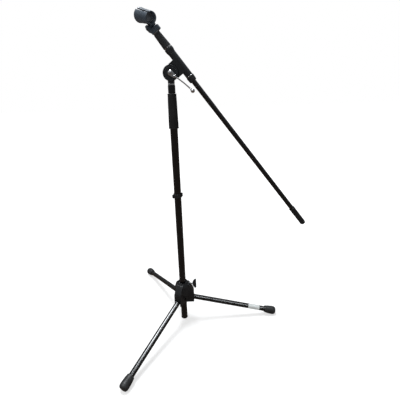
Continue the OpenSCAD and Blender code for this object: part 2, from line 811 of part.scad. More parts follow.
module clip_barrel() {
    half = barrel_length / 2;
    color(black_plastic) barrel_frame() difference() {
        union() {
            translate([barrel_shift, 0, clip_reach]) rotate([0, 90, 0]) rotate_extrude() polygon([
                [0, -half], [barrel_front_radius - 1.4, -half], [barrel_front_radius, 1.4 - half],
                [barrel_front_radius, 5 - half], [barrel_front_radius - 0.7, 6 - half],
                [barrel_rear_radius, half - 1.4], [barrel_rear_radius - 1.2, half], [0, half]]);
            rotate([90, 0, 0]) cylinder(r = tongue_round, h = 2 * tongue_half, center = true);
            translate([-tongue_round, -tongue_half, 0])
                cube([2 * tongue_round, 2 * tongue_half, clip_reach - barrel_bore]);
            translate([rib_front, -tongue_half, rib_low])
                cube([rib_rear - rib_front, 2 * tongue_half, clip_reach - barrel_bore - rib_low - 2]);
        }
        translate([barrel_shift, 0, clip_reach]) rotate([0, 90, 0]) rotate_extrude() polygon([
            [0, -half - eps], [barrel_front_radius - 3, -half - eps], [barrel_front_radius - 3.2, -half],
            [barrel_bore, half - 1 - bore_straight], [barrel_bore, half - 1], [barrel_bore + 0.8, half],
            [barrel_bore + 0.8, half + eps], [0, half + eps]]);
        translate([-barrel_length, -slot_open / 2, clip_reach])
            cube([2 * barrel_length, slot_open, barrel_length]);
        rotate([90, 0, 0]) cylinder(r = screw_radius + run, h = 4 * tongue_half, center = true);
    }
}

hub_housing();
hub_liner();
lock_insert();
leg_pins();
leg_tube_right();
leg_plug_right();
foot_right();
leg_label();
leg_tube_back();
leg_plug_back();
foot_back();
leg_tube_front();
leg_plug_front();
foot_front();
wing_shank();
wing_knob();
pole_tube();
pole_end_cap();
pole_collet();
cable_clip();
clutch_core();
clutch_grip();
clutch_ring_low();
clutch_ring_top();
riser_tube();
riser_guide();
head_sleeve();
jam_nut();
swivel_knuckle();
friction_washer();
lever_boss();
lever_rod();
lever_ball();
lever_cap();
tee_housing();
tee_liner();
tee_ring();
tee_washer();
pivot_bolt();
collar_nut();
boom_tube();
boom_end_grip();
boom_collet();
boom_clutch_core();
boom_clutch_grip();
boom_clutch_washer();
extension_tube();
extension_guide();
extension_stud();
clip_base();
clip_insert();
clip_screw();
clip_nut();
clip_barrel();
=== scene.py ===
"""Looks of a boom microphone stand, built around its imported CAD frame.

Pieces are modelled in local frames in millimetres, taken from the CAD's joints and nodes,
and carried into the shared frame in metres. Round pieces are turned from the outline of
their CAD node, cast and moulded ones start from a copy of it, re-meshed with soft corners.
"""
import json
import math

import bmesh
import bpy
from mathutils import Matrix, Vector


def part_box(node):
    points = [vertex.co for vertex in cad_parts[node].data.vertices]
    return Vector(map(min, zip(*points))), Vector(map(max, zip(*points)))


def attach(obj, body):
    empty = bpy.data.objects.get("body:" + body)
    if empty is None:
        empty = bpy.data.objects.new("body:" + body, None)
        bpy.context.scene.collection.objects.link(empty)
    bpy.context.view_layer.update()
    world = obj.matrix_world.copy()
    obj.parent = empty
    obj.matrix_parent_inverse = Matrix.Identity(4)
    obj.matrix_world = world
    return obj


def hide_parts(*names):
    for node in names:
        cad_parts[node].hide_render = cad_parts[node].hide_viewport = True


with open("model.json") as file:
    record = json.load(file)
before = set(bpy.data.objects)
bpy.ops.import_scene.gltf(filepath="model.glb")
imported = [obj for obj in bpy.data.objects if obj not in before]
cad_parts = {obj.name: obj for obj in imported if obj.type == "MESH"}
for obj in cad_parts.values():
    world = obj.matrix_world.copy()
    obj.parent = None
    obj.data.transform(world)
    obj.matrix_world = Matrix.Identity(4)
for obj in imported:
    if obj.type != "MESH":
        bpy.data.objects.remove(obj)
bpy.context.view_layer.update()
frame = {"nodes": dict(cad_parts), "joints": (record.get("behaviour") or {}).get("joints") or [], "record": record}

MM = 0.001
JOINTS = {joint["name"]: joint for joint in frame["joints"]}
MOUNTS = {mount["name"]: mount for mount in frame["record"]["mounts"]}
SIDES = ("right", "back", "front")


# ---------------------------------------------------------------- local frames

def placed(origin, x_axis, z_axis):
    """Matrix that carries local millimetres to the shared frame."""
    z = Vector(z_axis).normalized()
    x = Vector(x_axis)
    x = (x - z * x.dot(z)).normalized()
    turn = Matrix((x, z.cross(x), z)).transposed().to_4x4()
    return Matrix.Translation(Vector(origin)) @ turn @ Matrix.Scale(MM, 4)


def at(joint):
    """Place of a joint's axis."""
    return Vector(JOINTS[joint]["pos_m"])


def axis(joint):
    """Direction of a joint's axis."""
    return Vector(JOINTS[joint]["axis"])


def leg_place(side):
    """Leg's pivot, with +X out along the leg and +Z on its upper side."""
    low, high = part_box("leg_tube_" + side)
    along = (low + high) / 2 - at("leg_fold_" + side)
    return placed(at("leg_fold_" + side), along, along.cross(axis("leg_fold_" + side)))


AXIAL = Matrix.Rotation(math.radians(90), 4, "Y")
STAND = placed((0, 0, 0), (1, 0, 0), (0, 0, 1))
SCREW = placed(at("locking_screw_turn"), (0, 0, -1), (1, 0, 0))
DOWN_BOOM = axis("boom_slide")
OFF_BOOM = DOWN_BOOM.cross(Vector((0, 1, 0)))
TILT = placed(at("boom_tilt"), DOWN_BOOM, OFF_BOOM)
BOOM_GAP = (at("collar_turn") - at("boom_tilt")).dot(OFF_BOOM)
BOOM = placed(at("boom_tilt") + OFF_BOOM * BOOM_GAP, -OFF_BOOM, DOWN_BOOM)
LEVER_AIM = (sum(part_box("lever_ball"), Vector()) / 2 - at("lever_turn")) * Vector((1, 0, 1))
LEVER = placed(at("lever_turn"), LEVER_AIM, LEVER_AIM.cross(Vector((0, 1, 0))))
CLIP = placed(at("clip_tilt"), axis("clip_tilt").cross(-DOWN_BOOM), -DOWN_BOOM)
MIC_AXIS = Vector(MOUNTS["mic_bore"]["axis"])
BARREL = placed(at("clip_tilt"), MIC_AXIS, MIC_AXIS.cross(axis("clip_tilt")))
LEGS = {side: leg_place(side) for side in SIDES}


# ---------------------------------------------------------------- node materials

def linked(tree, kind, **inputs):
    """New shader node; an input is a value or another node's output socket."""
    node = tree.nodes.new(kind)
    for name, value in inputs.items():
        socket = node.inputs[name.replace("_", " ")]
        if isinstance(value, bpy.types.NodeSocket):
            tree.links.new(value, socket)
        else:
            socket.default_value = value
    return node


def ramp(tree, value, low, high, dark=0.0, light=1.0):
    """Value stretched from the span low..high to the span dark..light."""
    node = linked(tree, "ShaderNodeMapRange", Value=value)
    for name, number in (("From Min", low), ("From Max", high), ("To Min", dark), ("To Max", light)):
        node.inputs[name].default_value = number
    return node.outputs["Result"]


def blended(tree, factor, first, second):
    """Colour mix of first and second by factor."""
    node = tree.nodes.new("ShaderNodeMix")
    node.data_type = "RGBA"
    for socket, value in ((node.inputs[0], factor), (node.inputs[6], first), (node.inputs[7], second)):
        if isinstance(value, bpy.types.NodeSocket):
            tree.links.new(value, socket)
        else:
            socket.default_value = value
    return node.outputs[2]


def noise(tree, place, size_mm, detail=3.0, roughness=0.55):
    """Noise whose blobs are about size_mm across."""
    node = linked(tree, "ShaderNodeTexNoise", Vector=place, Scale=1000 / size_mm, Detail=detail,
                  Roughness=roughness)
    return node.outputs["Fac"]


def surface(name, colour, roughness, metallic=0.0, specular=0.5, coat=0.0, mottle=0.25, mottle_mm=26,
            grain_mm=0.7, grain_depth=0.03, brushed=False, wear=0.0, wear_colour=(0.3, 0.3, 0.31),
            shine=0.08):
    """Procedural material: blotches of tone and gloss, a fine moulded or brushed grain, worn edges."""
    material = bpy.data.materials.new(name)
    material.use_nodes = True
    tree = material.node_tree
    shader = tree.nodes["Principled BSDF"]
    place = tree.nodes.new("ShaderNodeTexCoord").outputs["Object"]
    blotch = noise(tree, place, mottle_mm, 4)
    shade = ramp(tree, blotch, 0.3, 0.7)
    darker = (*(c * (1 - mottle) for c in colour), 1)
    lighter = (*(min(1, c * (1 + mottle)) for c in colour), 1)
    tone = blended(tree, shade, darker, lighter)
    smear = noise(tree, place, mottle_mm * 0.35, 5, 0.7)
    gloss = ramp(tree, smear, 0.3, 0.7, roughness - shine, roughness + shine)
    if wear:
        corner = tree.nodes.new("ShaderNodeNewGeometry").outputs["Pointiness"]
        edge = ramp(tree, corner, 0.52, 0.6)
        patch = ramp(tree, noise(tree, place, 5, 4, 0.7), 0.45, 0.62, 0.0, wear)
        worn = linked(tree, "ShaderNodeMath")
        worn.operation = "MULTIPLY"
        tree.links.new(edge, worn.inputs[0])
        tree.links.new(patch, worn.inputs[1])
        tone = blended(tree, worn.outputs[0], tone, (*wear_colour, 1))
    if brushed:
        stretch = linked(tree, "ShaderNodeMapping", Vector=place)
        stretch.inputs["Scale"].default_value = (1, 1, 0.06)
        grain = noise(tree, stretch.outputs[0], grain_mm, 2)
    else:
        grain = noise(tree, place, grain_mm, 2)
    bump = linked(tree, "ShaderNodeBump", Height=grain, Strength=0.6, Distance=grain_depth * MM)
    tree.links.new(tone, shader.inputs["Base Color"])
    tree.links.new(gloss, shader.inputs["Roughness"])
    tree.links.new(bump.outputs[0], shader.inputs["Normal"])
    shader.inputs["Metallic"].default_value = metallic
    shader.inputs["Specular IOR Level"].default_value = specular
    shader.inputs["Coat Weight"].default_value = coat
    shader.inputs["Coat Roughness"].default_value = 0.08
    return material


def label_film():
    """White film with a few soft grey bars in place of print."""
    material = surface("label_film", (0.58, 0.605, 0.6), 0.5, mottle=0.04, grain_depth=0.01, shine=0.05)
    tree = material.node_tree
    shader = tree.nodes["Principled BSDF"]
    plain = shader.inputs["Base Color"].links[0].from_socket
    spot = tree.nodes.new("ShaderNodeTexCoord").outputs["UV"]
    sides = linked(tree, "ShaderNodeSeparateXYZ", Vector=spot)
    wave = tree.nodes.new("ShaderNodeMath")
    wave.operation = "PINGPONG"
    wave.inputs[1].default_value = 0.055
    tree.links.new(sides.outputs["Y"], wave.inputs[0])
    row = ramp(tree, wave.outputs[0], 0.018, 0.03)
    for output, low, high in (("X", 0.2, 0.26), ("X", 0.86, 0.8), ("Y", 0.42, 0.5), ("Y", 0.86, 0.8)):
        inside = linked(tree, "ShaderNodeMath")
        inside.operation = "MULTIPLY"
        tree.links.new(row, inside.inputs[0])
        tree.links.new(ramp(tree, sides.outputs[output], low, high), inside.inputs[1])
        row = inside.outputs[0]
    faint = ramp(tree, row, 0, 1, 0, 0.7)
    tree.links.new(blended(tree, faint, plain, (0.16, 0.175, 0.18, 1)), shader.inputs["Base Color"])
    return material


PLASTIC = surface("moulded_plastic", (0.011, 0.012, 0.0135), 0.4, mottle=0.3, grain_mm=0.6,
                  grain_depth=0.05, wear=0.25, wear_colour=(0.09, 0.1, 0.11))
CAST = surface("cast_matt_black", (0.009, 0.011, 0.014), 0.46, mottle=0.25, grain_mm=0.9,
               grain_depth=0.05, wear=0.5, wear_colour=(0.1, 0.105, 0.11))
CLIP_PLASTIC = surface("clip_plastic", (0.034, 0.046, 0.062), 0.36, mottle=0.12, grain_mm=1.2,
                       grain_depth=0.02, wear=0.15, wear_colour=(0.12, 0.14, 0.16))
RUBBER = surface("moulded_rubber", (0.011, 0.011, 0.012), 0.6, specular=0.4, mottle=0.3, grain_mm=0.8,
                 grain_depth=0.06)
FOOT_RUBBER = surface("foot_rubber", (0.017, 0.0175, 0.0185), 0.48, specular=0.5, mottle=0.35, mottle_mm=14,
                      grain_mm=0.9, grain_depth=0.08, wear=0.3, wear_colour=(0.12, 0.12, 0.12))
PAINT = surface("gloss_black_paint", (0.0035, 0.0035, 0.0038), 0.11, coat=0.5, mottle=0.3, mottle_mm=40,
                grain_mm=3, grain_depth=0.002, shine=0.02)
CHROME = surface("chrome_plate", (0.8, 0.8, 0.81), 0.14, metallic=1, mottle=0.06, mottle_mm=9,
                 grain_mm=2.5, grain_depth=0.012, shine=0.05)
STEEL = surface("zinc_plate", (0.55, 0.56, 0.58), 0.32, metallic=1, mottle=0.12, brushed=True,
                grain_mm=0.5, grain_depth=0.012)
BRASS = surface("turned_brass", (0.68, 0.5, 0.22), 0.3, metallic=1, mottle=0.15, brushed=True,
                grain_mm=0.5, grain_depth=0.012)
BLACKED = surface("blackened_steel", (0.05, 0.052, 0.056), 0.36, metallic=1, mottle=0.3, mottle_mm=6,
                  brushed=True, grain_mm=0.5, grain_depth=0.012, wear=0.4, wear_colour=(0.3, 0.31, 0.32))
NYLON = surface("dark_nylon", (0.06, 0.06, 0.062), 0.45, mottle=0.15, grain_depth=0.03)
WORN_GRIP = surface("worn_grip", (0.013, 0.014, 0.016), 0.45, mottle=0.45, mottle_mm=7, grain_mm=0.8,
                    grain_depth=0.05, wear=0.8, wear_colour=(0.12, 0.13, 0.15))
FILM = label_film()


# ---------------------------------------------------------------- outlines and solids

SAME_POINT = 0.03
STRAIGHT = math.radians(2)


def outline_of(node, where):
    """Corners (radius, height) of a round CAD node about local Z, in order round its section."""
    inverse = where.inverted()
    mesh = frame["nodes"][node].data
    corners = []
    corner_of = []
    for vertex in mesh.vertices:
        p = inverse @ vertex.co
        point = Vector((math.hypot(p.x, p.y), p.z))
        found = next((i for i, c in enumerate(corners) if (c - point).length < SAME_POINT), len(corners))
        if found == len(corners):
            corners.append(point)
        corner_of.append(found)
    links = {i: set() for i in range(len(corners))}
    for edge in mesh.edges:
        a, b = (corner_of[i] for i in edge.vertices)
        if a != b:
            links[a].add(b)
            links[b].add(a)
    ends = [i for i, near in links.items() if len(near) == 1]
    order = [ends[0] if ends else 0]
    while True:
        ahead = [i for i in sorted(links[order[-1]]) if i not in order]
        if not ahead:
            break
        order.append(ahead[0])
    outline = [corners[i] for i in order]
    if ends:
        outline = [Vector((0, outline[0].y)), *outline, Vector((0, outline[-1].y))]
    return [p for i, p in enumerate(outline)
            if (p - outline[i - 1]).angle(outline[(i + 1) % len(outline)] - p, 0) > STRAIGHT]


def rounded(points, radius=0.0, steps=4):
    """Closed outline with its corners rounded; a point may bring its own radius as a third number."""
    outline = []
    for i, point in enumerate(points):
        here = Vector(point[:2])
        bend = point[2] if len(point) > 2 else radius
        back = Vector(points[i - 1][:2]) - here
        ahead = Vector(points[(i + 1) % len(points)][:2]) - here
        on_axis = here.x < SAME_POINT
        if not bend or on_axis or min(back.length, ahead.length) < SAME_POINT:
            outline.append(here)
            continue
        half = max(back.angle(ahead) / 2, 0.2)
        reach = min(bend / math.tan(half), back.length * 0.45, ahead.length * 0.45)
        if reach < SAME_POINT:
            outline.append(here)
            continue
        start = here + back.normalized() * reach
        end = here + ahead.normalized() * reach
        for step in range(steps + 1):
            t = step / steps
            outline.append((1 - t) ** 2 * start + 2 * t * (1 - t) * here + t * t * end)
    return outline


def spaced(outline, step):
    """Outline with points added along every side longer than step."""
    dense = []
    for i, point in enumerate(outline):
        after = outline[(i + 1) % len(outline)]
        parts = max(1, math.ceil((after - point).length / step))
        dense += [point.lerp(after, part / parts) for part in range(parts)]
    return dense


def lathe(outline, segments=96, relief=None):
    """Closed solid turned about local Z; relief changes a radius by its angle and height."""
    mesh = bmesh.new()
    rings = []
    for radius, height in outline:
        if radius < SAME_POINT:
            rings.append([mesh.verts.new((0, 0, height))])
            continue
        ring = []
        for i in range(segments):
            angle = math.tau * i / segments
            r = relief(angle, radius, height) if relief else radius
            ring.append(mesh.verts.new((r * math.cos(angle), r * math.sin(angle), height)))
        rings.append(ring)
    for first, second in zip(rings, rings[1:] + rings[:1]):
        if len(first) == len(second) == 1:
            continue
        for i in range(segments):
            j = (i + 1) % segments
            loop = [first[i % len(first)], first[j % len(first)], second[j % len(second)],
                    second[i % len(second)]]
            mesh.faces.new(list(dict.fromkeys(loop)))
    bmesh.ops.recalc_face_normals(mesh, faces=mesh.faces)
    return mesh


def prism(outline, low, high):
    """Closed solid pushed up from an outline of (x, y) points, from Z low to high."""
    mesh = bmesh.new()
    floor = [mesh.verts.new((x, y, low)) for x, y in outline]
    roof = [mesh.verts.new((x, y, high)) for x, y in outline]
    count = len(outline)
    for i in range(count):
        j = (i + 1) % count
        mesh.faces.new([floor[i], floor[j], roof[j], roof[i]])
    mesh.faces.new(floor[::-1])
    mesh.faces.new(roof)
    bmesh.ops.recalc_face_normals(mesh, faces=mesh.faces)
    return mesh


def rod(radius, low, high, turn=Matrix(), segments=48):
    """Plain round cutter or boss about local Z, turned by a matrix."""
    mesh = lathe([Vector((0, low)), Vector((radius, low)), Vector((radius, high)), Vector((0, high))],
                 segments)
    mesh.transform(turn)
    return mesh


def ball(radius, centre, scale=(1, 1, 1)):
    """Sphere as a cutter."""
    mesh = bmesh.new()
    bmesh.ops.create_icosphere(mesh, subdivisions=5, radius=radius,
                               matrix=Matrix.Translation(centre) @ Matrix.Diagonal((*scale, 1)))
    return mesh


def cad_copy(node, where):
    """CAD node's mesh in local millimetres, as a closed solid."""
    mesh = bmesh.new()
    mesh.from_mesh(frame["nodes"][node].data)
    mesh.transform(where.inverted())
    bmesh.ops.remove_doubles(mesh, verts=mesh.verts, dist=0.002)
    return mesh


def helper_object(mesh):
    """Temporary object that holds a solid while modifiers run."""
    data = bpy.data.meshes.new("helper")
    mesh.to_mesh(data)
    mesh.free()
    helper = bpy.data.objects.new("helper", data)
    bpy.context.scene.collection.objects.link(helper)
    return helper


def finished(helpers):
    """Mesh of the first helper with its modifiers applied; all helpers are removed."""
    graph = bpy.context.evaluated_depsgraph_get()
    result = bpy.data.meshes.new_from_object(helpers[0].evaluated_get(graph))
    mesh = bmesh.new()
    mesh.from_mesh(result)
    bpy.data.meshes.remove(result)
    for helper in helpers:
        data = helper.data
        bpy.data.objects.remove(helper)
        bpy.data.meshes.remove(data)
    return mesh


def combined(base, others, operation="DIFFERENCE"):
    """Boolean of a base solid with each of the others."""
    helpers = [helper_object(mesh) for mesh in (base, *others)]
    for other in helpers[1:]:
        modifier = helpers[0].modifiers.new("combine", "BOOLEAN")
        modifier.operation = operation
        modifier.solver = "EXACT"
        modifier.object = other
        other.hide_render = True
    return finished(helpers)


def moulded(solid, voxel, passes=6):
    """Solid re-meshed in even quads, with its corners softened."""
    helper = helper_object(solid)
    remesh = helper.modifiers.new("even", "REMESH")
    remesh.mode = "VOXEL"
    remesh.voxel_size = voxel
    soften = helper.modifiers.new("soften", "SMOOTH")
    soften.factor = 0.5
    soften.iterations = passes
    return finished([helper])


def piece(name, mesh, where, material, body, nodes=(), sharp=38):
    """Shown piece from a local solid: placed, shaded smooth up to its sharp edges, riding on its body."""
    mesh.transform(where)
    for face in mesh.faces:
        face.smooth = True
    for edge in mesh.edges:
        edge.smooth = len(edge.link_faces) == 2 and edge.calc_face_angle(0) < math.radians(sharp)
    data = bpy.data.meshes.new(name)
    mesh.to_mesh(data)
    mesh.free()
    data.materials.append(material)
    shown = bpy.data.objects.new(name, data)
    bpy.context.scene.collection.objects.link(shown)
    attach(shown, body)
    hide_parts(*nodes)
    return shown


# ---------------------------------------------------------------- surface relief

def fade(value, low, high, width):
    """1 inside low..high, falling to 0 within width of either end."""
    return max(0.0, min(1.0, (value - low) / width, (high - value) / width))


def ribs(count, depth, skin, low, high):
    """Long rounded ribs round a grip, on radii above skin."""
    def shape(angle, radius, height):
        if radius < skin:
            return radius
        groove = 1 - abs(math.sin(angle * count / 2))
        return radius - depth * groove * fade(height, low, high, 2.5)
    return shape


def knurl(count, depth, skin, low, high, pitch):
    """Crossed spiral grooves that leave small diamonds, on radii above skin."""
    def shape(angle, radius, height):
        if radius < skin:
            return radius
        lean = math.pi * height / pitch
        left = 1 - abs(math.sin(angle * count / 2 + lean))
        right = 1 - abs(math.sin(angle * count / 2 - lean))
        return radius - depth * max(left, right) ** 2 * fade(height, low, high, 2)
    return shape


def rings(heights, depth, width, skin):
    """Soft ring grooves at the given heights, on radii above skin."""
    def shape(angle, radius, height):
        if radius < skin:
            return radius
        return radius - depth * max(math.exp(-((height - h) / width) ** 2) for h in heights)
    return shape


def thread(pitch, depth, skin):
    """Helical screw thread on radii above skin."""
    def shape(angle, radius, height):
        if radius < skin:
            return radius
        turn = (height / pitch - angle / math.tau) % 1
        return radius - depth * abs(2 * turn - 1)
    return shape


def polygonal(sides, apothem, skin=0.0):
    """Flats of a nut, on radii above skin."""
    def shape(angle, radius, height):
        if radius < skin:
            return radius
        off = (angle + math.pi / sides) % (math.tau / sides) - math.pi / sides
        return min(radius, apothem / math.cos(off))
    return shape


def turned(name, node, where, material, body, corner=0.5, step=None, relief=None, segments=96):
    """Piece turned from the outline of its CAD node, with rounded corners and optional relief."""
    outline = rounded(outline_of(node, where), corner)
    if step:
        outline = spaced(outline, step)
    return piece(name, lathe(outline, segments, relief), where, material, body, (node,))


def span(node, where):
    """Lowest and highest corner of a CAD node in a local frame, in millimetres."""
    inverse = where.inverted()
    points = [inverse @ vertex.co for vertex in frame["nodes"][node].data.vertices]
    return tuple(Vector(pick(p[k] for p in points) for k in range(3)) for pick in (min, max))


# ---------------------------------------------------------------- tripod base

# Webs that carry each ear's two cheeks in to the pole, below the bell
EAR_SLOT = 10.5
EAR_FACE = 15
WEB_START = 10
WEB_END = 16
WEB_HEIGHT = 44


def hub():
    """Bell with three flat-sided ears, a recess round the pole and a boss for the locking screw."""
    foot_of_bell = span("hub_housing", STAND)[0].z
    fillets = []
    for angle in (0, 120, 240):
        for side in (-1, 1):
            near, far = side * EAR_SLOT, side * EAR_FACE
            block = prism([(WEB_START, near), (WEB_END, near), (WEB_END, far), (WEB_START, far)],
                          foot_of_bell, foot_of_bell + WEB_HEIGHT)
            block.transform(Matrix.Rotation(math.radians(angle), 4, "Z"))
            fillets.append(block)
    bell = moulded(combined(cad_copy("hub_housing", STAND), fillets, "UNION"), 0.75, 6)
    piece("hub_bell", bell, STAND, PLASTIC, "base", ("hub_housing",))


def leg(side):
    where = LEGS[side]
    body = "leg_" + side
    turned("leg_" + side, "leg_tube_" + side, where @ AXIAL, PAINT, body, 0.5, 20)
    foot(side)


def foot(side):
    """Rubber boot: a ribbed neck that widens to a rounded end, flat where it stands."""
    where = LEGS[side] @ AXIAL
    low, high = span("foot_" + side, where)
    start = low.z
    end = high.z
    radius = high.y
    bore = span("leg_tube_" + side, where)[1].y
    outline = rounded([
        (bore, start, 0.2), (radius - 4.2, start, 0.5), (radius - 3.0, start + 1.4, 0.8),
        (radius - 2.7, start + 6, 1.5), (radius - 1.3, start + 12, 2), (radius, end - 13, 5),
        (radius - 0.7, end - 5.5, 3), (radius - 3, end - 1.4, 2), (radius - 5.2, end, 1), (0, end),
        (0, end - 7), (bore, end - 7, 0.3)])
    grooves = [start + 14 + 3.6 * i for i in range(5)]
    mesh = lathe(spaced(outline, 0.9), 120, rings(grooves, 0.45, 0.55, bore + 1))
    mesh.transform(where)
    for vertex in mesh.verts:
        vertex.co.z = max(vertex.co.z, 0)
    mesh.transform(where.inverted())
    piece("boot_" + side, mesh, where, FOOT_RUBBER, "leg_" + side, ("foot_" + side,))


def label():
    """Film wrapped part of the way round the right leg, with rounded corners."""
    where = LEGS["right"] @ AXIAL
    low, high = span("leg_label", where)
    inner = span("leg_tube_right", where)[1].y
    outer = high.y
    first, last = math.radians(165), math.radians(395)
    width = (last - first) * outer
    corner = 4.0
    along, around = 24, 72
    mesh = bmesh.new()
    uv = mesh.loops.layers.uv.new("UVMap")
    sheets = []
    for radius in (inner + 0.05, outer):
        sheet = []
        for i in range(around + 1):
            v = i / around
            angle = first + (last - first) * v
            to_edge = min(v, 1 - v) * width
            dip = corner - math.sqrt(max(0, corner ** 2 - (corner - min(to_edge, corner)) ** 2))
            row = []
            for k in range(along + 1):
                u = k / along
                z = low.z + dip + (high.z - low.z - 2 * dip) * u
                lift = 0.05 * math.sin(17 * u + 9 * v) * math.sin(23 * v) if radius == outer else 0
                row.append(mesh.verts.new(((radius + lift) * math.cos(angle),
                                           (radius + lift) * math.sin(angle), z)))
            sheet.append(row)
        sheets.append(sheet)
    under, over = sheets
    for i in range(around):
        for k in range(along):
            mesh.faces.new([under[i][k], under[i][k + 1], under[i + 1][k + 1], under[i + 1][k]])
            face = mesh.faces.new([over[i][k], over[i + 1][k], over[i + 1][k + 1], over[i][k + 1]])
            for loop, (a, b) in zip(face.loops, ((i, k), (i + 1, k), (i + 1, k + 1), (i, k + 1))):
                loop[uv].uv = (b / along, a / around)
    rim = [(i, 0) for i in range(around)] + [(around, k) for k in range(along)]
    rim += [(i, along) for i in range(around, 0, -1)] + [(0, k) for k in range(along, 0, -1)]
    for (a, b), (c, d) in zip(rim, rim[1:] + rim[:1]):
        mesh.faces.new([under[a][b], under[c][d], over[c][d], over[a][b]])
    bmesh.ops.recalc_face_normals(mesh, faces=mesh.faces)
    piece("leg_film", mesh, where, FILM, "leg_right", ("leg_label",))


def locking_screw():
    low, high = span("wing_shank", SCREW)
    outline = spaced(rounded([(0, low.z), (2.9, low.z, 0.4), (3, low.z + 1), (3, high.z), (0, high.z)]), 0.17)
    shank = lathe(outline, 40, thread(1.25, 0.55, 2.2))
    piece("locking_shank", shank, SCREW, CHROME, "locking_screw", ("wing_shank",))
    low, high = span("wing_knob", SCREW)
    knob = cad_copy("wing_knob", SCREW)
    middle = (low.z + high.z) / 2 + 2
    dish = [ball(40, (0, side * (high.y + 39.3), middle)) for side in (-1, 1)]
    neck = combined(rod(6.5, low.z, low.z + 8), [rod(3, low.z - 1, low.z + 9)])
    knob = combined(combined(knob, dish), [neck], "UNION")
    piece("locking_wing", moulded(knob, 0.4, 6), SCREW, PLASTIC, "locking_screw",
          ("wing_knob",))


# ---------------------------------------------------------------- pole and clutches

def pole():
    turned("pole_lower", "pole_tube", STAND, PAINT, "pole", 0.4, 20)
    turned("pole_cap", "pole_end_cap", STAND, RUBBER, "pole", 0.8, 4)
    turned("pole_riser", "riser_tube", STAND, STEEL, "riser", 0.4, 20)
    holder = moulded(cad_copy("cable_clip", STAND), 0.35, 5)
    piece("cable_holder", holder, STAND, PLASTIC, "cable_holder", ("cable_clip",))


def pole_clutch():
    low, high = span("clutch_grip", STAND)
    relief = ribs(44, 0.4, 13.5, low.z + 5, high.z - 5)
    turned("grip_sleeve", "clutch_grip", STAND, RUBBER, "pole_clutch", 0.8, 2.2, relief, 264)
    turned("grip_ring_low", "clutch_ring_low", STAND, PLASTIC, "pole_clutch", 0.7, 2)
    turned("grip_ring_top", "clutch_ring_top", STAND, PLASTIC, "pole_clutch", 0.6, 2)


def head():
    turned("head_socket", "head_sleeve", STAND, PAINT, "riser", 0.6, 4)
    low, high = span("jam_nut", STAND)
    corner = high.x
    flats = polygonal(6, corner * math.cos(math.pi / 6), 9)
    outline = rounded([(7.95, low.z, 0.3), (corner - 1.6, low.z, 0.2), (corner, low.z + 0.9, 0.2),
                       (corner, high.z - 0.9, 0.2), (corner - 1.6, high.z, 0.2), (7.95, high.z, 0.3)])
    nut = lathe(spaced(outline, 0.5), 144, flats)
    piece("lock_nut", nut, STAND, CHROME, "riser", ("jam_nut",), 20)
    knuckle = moulded(cad_copy("swivel_knuckle", STAND), 0.42, 5)
    piece("knuckle_cast", knuckle, STAND, CAST, "knuckle", ("swivel_knuckle",))


def lever():
    """Chrome clamping lever: boss, gently bent rod, ball and the screw that holds it."""
    boss = moulded(cad_copy("lever_boss", LEVER), 0.28, 5)
    piece("lever_hub", boss, LEVER, CHROME, "lever", ("lever_boss",))
    arm = moulded(cad_copy("lever_rod", LEVER), 0.3, 2)
    piece("lever_arm", arm, LEVER, CHROME, "lever", ("lever_rod",))
    low, high = span("lever_ball", LEVER)
    middle = (low + high) / 2
    radius = (high.y - low.y) / 2
    outline = [Vector((radius * math.sin(a), -radius * math.cos(a)))
               for a in (math.pi * i / 28 for i in range(29))]
    outline[0].x = outline[-1].x = 0
    knob = lathe(outline, 56)
    collar = lathe(rounded([(0, -radius - 1.2), (2.9, -radius - 1.2, 0.4), (3.6, -radius + 1.5, 0.3),
                            (0, -radius + 1.5)]), 40)
    turn = Matrix.Translation(middle) @ AXIAL
    knob.transform(turn)
    collar.transform(turn)
    knob = combined(knob, [collar], "UNION")
    piece("lever_knob", knob, LEVER, CHROME, "lever", ("lever_ball",))
    low, high = span("lever_cap", LEVER)
    facing = Matrix.Rotation(math.radians(90), 4, "X")
    depth = high.y - low.y
    outline = rounded([(0, 0), (4.4, 0, 0.2), (4.4, depth * 0.5, 0.7), (2.6, depth, 0.9), (0, depth)])
    cap = lathe(spaced(outline, 0.4), 60)
    slots = []
    for angle in (20, 110):
        slot = prism([(-2.3, -0.45), (2.3, -0.45), (2.3, 0.45), (-2.3, 0.45)], depth - 1.3, depth + 1)
        slot.transform(Matrix.Rotation(math.radians(angle), 4, "Z"))
        slots.append(slot)
    cap = combined(cap, slots)
    cap.transform(Matrix.Translation((0, high.y, 0)) @ facing)
    piece("lever_screw", cap, LEVER, STEEL, "lever", ("lever_cap",))


# ---------------------------------------------------------------- boom

def tee():
    body = moulded(cad_copy("tee_housing", TILT), 0.55, 6)
    piece("tee_cast", body, TILT, CAST, "tee", ("tee_housing",))
    turned("tee_collar", "tee_ring", BOOM, CAST, "tee", 1.2, 2)
    turned("tee_seam", "tee_washer", BOOM, CHROME, "tee", 0.4)
    facing = placed(at("boom_tilt"), DOWN_BOOM, (0, 1, 0))
    low, high = span("pivot_bolt", facing)
    flats = polygonal(6, 7.5 * math.cos(math.pi / 6), 5)
    outline = rounded([(0, low.z), (3.9, low.z, 0.3), (3.95, 12, 0.2), (7.4, 12, 0.2),
                       (7.5, 16, 0.4), (6.4, high.z, 0.5), (0, high.z)])
    bolt = lathe(spaced(outline, 0.6), 120, flats)
    piece("tilt_bolt", bolt, facing, STEEL, "tee", ("pivot_bolt",), 25)


def collar():
    low, high = span("collar_nut", BOOM)
    relief = ribs(12, 0.9, 10.5, low.z + 3, high.z - 1)
    turned("boom_collar", "collar_nut", BOOM, PLASTIC, "collar", 0.9, 1, relief, 240)


